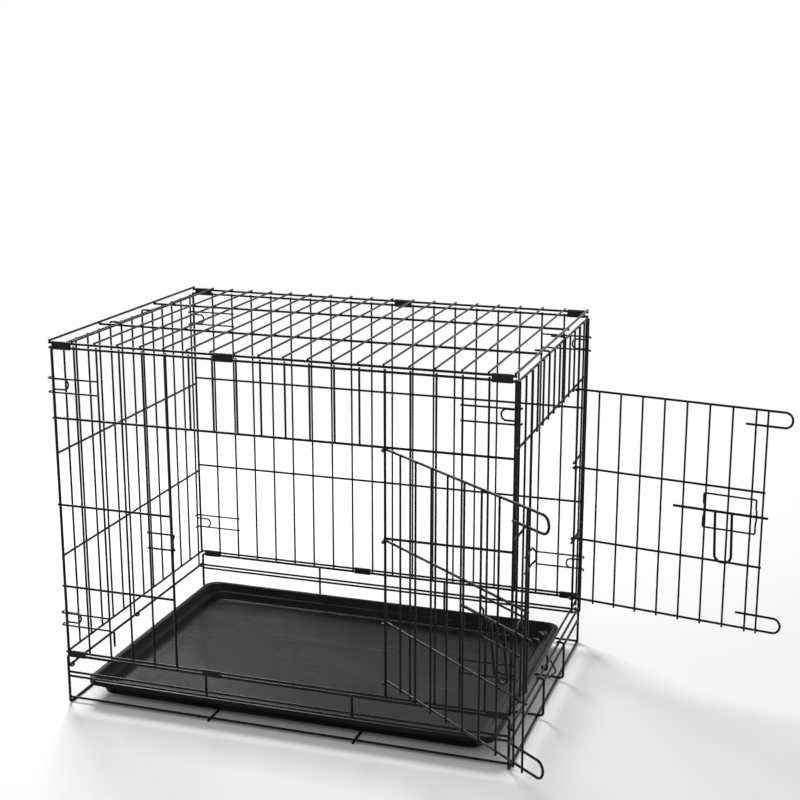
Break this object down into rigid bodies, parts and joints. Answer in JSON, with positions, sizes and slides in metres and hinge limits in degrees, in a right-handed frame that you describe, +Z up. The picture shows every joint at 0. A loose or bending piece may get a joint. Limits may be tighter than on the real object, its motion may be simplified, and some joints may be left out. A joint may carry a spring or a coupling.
{
  "type": "folding wire pet crate",
  "caption": "Folding wire pet crate with a side door and an end door standing open, slide-bolt latches, and a shallow plastic floor tray that slides out.",
  "frame": {"origin": "floor level under the front left corner post", "axes": "+X along the crate to the end with the door, +Y from the side door to the back, +Z up"},
  "size_m": [1.1424, 0.7531, 0.6284],
  "materials": {
    "coated_wire": "satin black electro-coated steel wire",
    "latch_wire": "satin black coating, a little worn where it slides",
    "clip_steel": "satin black coated sheet steel",
    "tray_plastic": "satin black moulded plastic"
  },
  "bodies": {
    "frame": {"left_base_bow": "coated_wire", "right_base_bow": "coated_wire", "front_base_rails": "coated_wire", "back_base_rails": "coated_wire", "base_end_rails": "coated_wire", "floor_outer_runners": "coated_wire", "floor_inner_runners": "coated_wire", "floor_cross_wires": "coated_wire", "tray_stop_wires": "coated_wire", "back_panel_rails": "coated_wire", "back_panel_corner_posts": "coated_wire", "back_panel_lock_bars": "coated_wire", "back_panel_uprights": "coated_wire", "back_panel_cross_wires": "coated_wire", "roof_back_clips": "clip_steel", "back_lower_clips": "clip_steel"},
    "tray": {"tray": "tray_plastic"},
    "left_end": {"left_end_rails": "coated_wire", "left_end_corner_posts": "coated_wire", "left_end_hinge_hooks": "coated_wire", "left_end_roof_tabs": "coated_wire", "left_end_corner_loops": "coated_wire", "left_end_uprights": "coated_wire", "left_end_cross_wires": "coated_wire"},
    "right_end": {"right_end_rails": "coated_wire", "right_end_corner_posts": "coated_wire", "right_end_hinge_hooks": "coated_wire", "right_end_roof_tabs": "coated_wire", "right_end_corner_loops": "coated_wire", "right_end_uprights": "coated_wire", "end_door_posts": "coated_wire", "right_end_cross_wires": "coated_wire", "end_door_strike": "latch_wire"},
    "roof": {"roof_lengthwise_wires": "coated_wire", "roof_end_wires": "coated_wire", "roof_cross_wires": "coated_wire", "roof_front_clips": "clip_steel"},
    "front_panel": {"front_panel_rails": "coated_wire", "front_panel_corner_posts": "coated_wire", "front_panel_lock_bars": "coated_wire", "front_panel_uprights": "coated_wire", "side_door_posts": "coated_wire", "front_panel_cross_wires": "coated_wire", "front_lower_clips": "clip_steel", "side_door_strike": "latch_wire"},
    "side_door": {"side_door_top_wire": "coated_wire", "side_door_bottom_wire": "coated_wire", "side_door_middle_wires": "coated_wire", "side_door_uprights": "coated_wire", "side_latch_frame": "latch_wire"},
    "end_door": {"end_door_top_wire": "coated_wire", "end_door_bottom_wire": "coated_wire", "end_door_middle_wires": "coated_wire", "end_door_uprights": "coated_wire", "end_latch_frame": "latch_wire"},
    "side_bolt": {"side_latch_bolt": "latch_wire"},
    "side_handle": {"side_latch_handle": "latch_wire"},
    "end_bolt": {"end_latch_bolt": "latch_wire"},
    "end_handle": {"end_latch_handle": "latch_wire"}
  },
  "joints": [
    {"name": "tray_slide", "type": "slide", "parent": "frame", "child": "tray", "axis": [-1, 0, 0], "range_m": [0, 0.7]},
    {"name": "left_end_fold", "type": "hinge", "parent": "frame", "child": "left_end", "pos_m": [0, 0.2605, 0.068], "axis": [0, 1, 0], "range_deg": [0, 88]},
    {"name": "right_end_fold", "type": "hinge", "parent": "frame", "child": "right_end", "pos_m": [0.762, 0.2605, 0.068], "axis": [0, -1, 0], "range_deg": [0, 25]},
    {"name": "roof_lift", "type": "hinge", "parent": "frame", "child": "roof", "pos_m": [0.381, 0.521, 0.6225], "axis": [-1, 0, 0], "range_deg": [0, 100]},
    {"name": "front_panel_swing", "type": "hinge", "parent": "roof", "child": "front_panel", "pos_m": [0.381, 0, 0.615], "axis": [-1, 0, 0], "range_deg": [0, 165]},
    {"name": "side_door_swing", "type": "hinge", "parent": "front_panel", "child": "side_door", "pos_m": [0.56147, 0.00405, 0.3], "axis": [0, 0, -1], "range_deg": [-20, 142]},
    {"name": "end_door_swing", "type": "hinge", "parent": "right_end", "child": "end_door", "pos_m": [0.7668, 0.43427, 0.3], "axis": [0, 0, -1], "range_deg": [-83.4, 81.1]},
    {"name": "side_bolt_slide", "type": "slide", "parent": "side_door", "child": "side_bolt", "axis": [0.7891, -0.6143, 0], "range_m": [-0.012, 0.034]},
    {"name": "end_bolt_slide", "type": "slide", "parent": "end_door", "child": "end_bolt", "axis": [0.9882, -0.153, 0], "range_m": [-0.012, 0.034]},
    {"name": "side_handle_turn", "type": "hinge", "parent": "side_bolt", "child": "side_handle", "pos_m": [0.77775, -0.15766, 0.308], "axis": [0.7891, -0.6143, 0], "range_deg": [0, 95]},
    {"name": "end_handle_turn", "type": "hinge", "parent": "end_bolt", "child": "end_handle", "pos_m": [1.03442, 0.39815, 0.319], "axis": [0.9882, -0.153, 0], "range_deg": [0, 95]}
  ]
}
